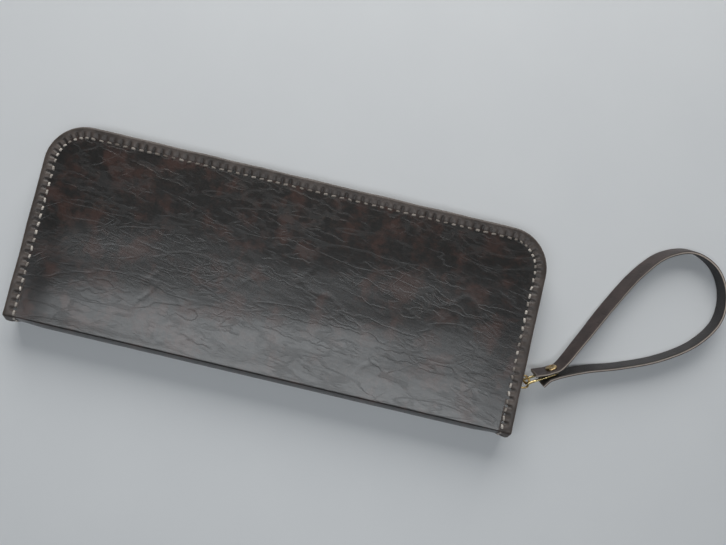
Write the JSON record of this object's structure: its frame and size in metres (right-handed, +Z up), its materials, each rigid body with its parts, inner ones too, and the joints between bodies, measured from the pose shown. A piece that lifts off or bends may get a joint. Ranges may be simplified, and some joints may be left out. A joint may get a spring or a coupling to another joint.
{
  "type": "paddle case",
  "caption": "Slim zip-round leatherette case listed as a paddle case, too narrow for a table tennis blade; bound and stitched edge, folding spine, wrist strap riveted to the zip pull.",
  "frame": {"origin": "middle of the back panel's underside, the flat face that the case rests on", "axes": "+X along the case towards the wrist strap, +Y from the spine to the opposite long edge, +Z up through the thickness from the back panel to the front panel"},
  "size_m": [0.4121, 0.1323, 0.02],
  "materials": {
    "leatherette": "embossed leatherette, dark marbled brown, satin with fine creases",
    "binding_tape": "narrow folded leatherette tape, dull taupe brown, puckered between stitches",
    "thread": "thick waxed thread, off-white",
    "board": "grey-brown pressed board",
    "lining": "dark brushed woven lining",
    "zip_tape": "dark brown woven zip tape",
    "nylon_coil": "dark brown nylon coil",
    "zip_stop_brass": "stamped brass clip",
    "slider_brass": "die-cast slider in polished brass finish",
    "ring_brass": "bright brass wire",
    "rivet_brass": "domed brass rivet, lightly worn",
    "strap_leather": "smooth brown leatherette strap with a pale raw edge",
    "strap_backing": "darker brown strap backing"
  },
  "bodies": {
    "back": {"back_cover": "leatherette", "back_board": "board", "back_lining": "lining", "back_binding": "binding_tape", "back_stitching": "thread", "back_zip_tape": "zip_tape", "back_zip_coil": "nylon_coil", "back_top_stop": "zip_stop_brass", "bottom_stop": "zip_stop_brass"},
    "spine": {"spine_cover": "leatherette", "spine_board": "board", "spine_lining": "lining", "spine_binding_left": "binding_tape", "spine_stitching_left": "thread", "spine_binding_right": "binding_tape", "spine_stitching_right": "thread"},
    "front": {"front_cover": "leatherette", "front_board": "board", "front_lining": "lining", "front_binding": "binding_tape", "front_stitching": "thread", "front_zip_tape": "zip_tape", "front_zip_coil": "nylon_coil", "front_top_stop": "zip_stop_brass"},
    "slider": {"zip_slider": "slider_brass", "slider_bail": "slider_brass"},
    "ring": {"pull_ring": "ring_brass"},
    "strap": {"strap_face": "strap_leather", "strap_backing": "strap_backing", "rivet_post": "rivet_brass", "rivet_cap": "rivet_brass"}
  },
  "joints": [
    {"name": "spine_fold", "type": "hinge", "parent": "back", "child": "spine", "pos_m": [0, -0.059, 0], "axis": [1, 0, 0], "range_deg": [0, 90]},
    {"name": "cover_fold", "type": "hinge", "parent": "spine", "child": "front", "pos_m": [0, -0.059, 0.02], "axis": [1, 0, 0], "range_deg": [0, 90]},
    {"name": "zip_slide", "type": "slide", "parent": "back", "child": "slider", "axis": [0, 1, 0], "range_m": [0, 0.052]},
    {"name": "ring_swing", "type": "hinge", "parent": "slider", "child": "ring", "pos_m": [0.1531, -0.028, 0.01], "axis": [0, 0, 1], "range_deg": [-90, 25]},
    {"name": "strap_swing", "type": "hinge", "parent": "ring", "child": "strap", "pos_m": [0.1681, -0.01899, 0.01], "axis": [0.484, -0.8055, -0.342], "range_deg": [0, 60]}
  ],
  "couplings": [
    {"joint": "cover_fold", "follows": "spine_fold", "ratio": 1}
  ]
}
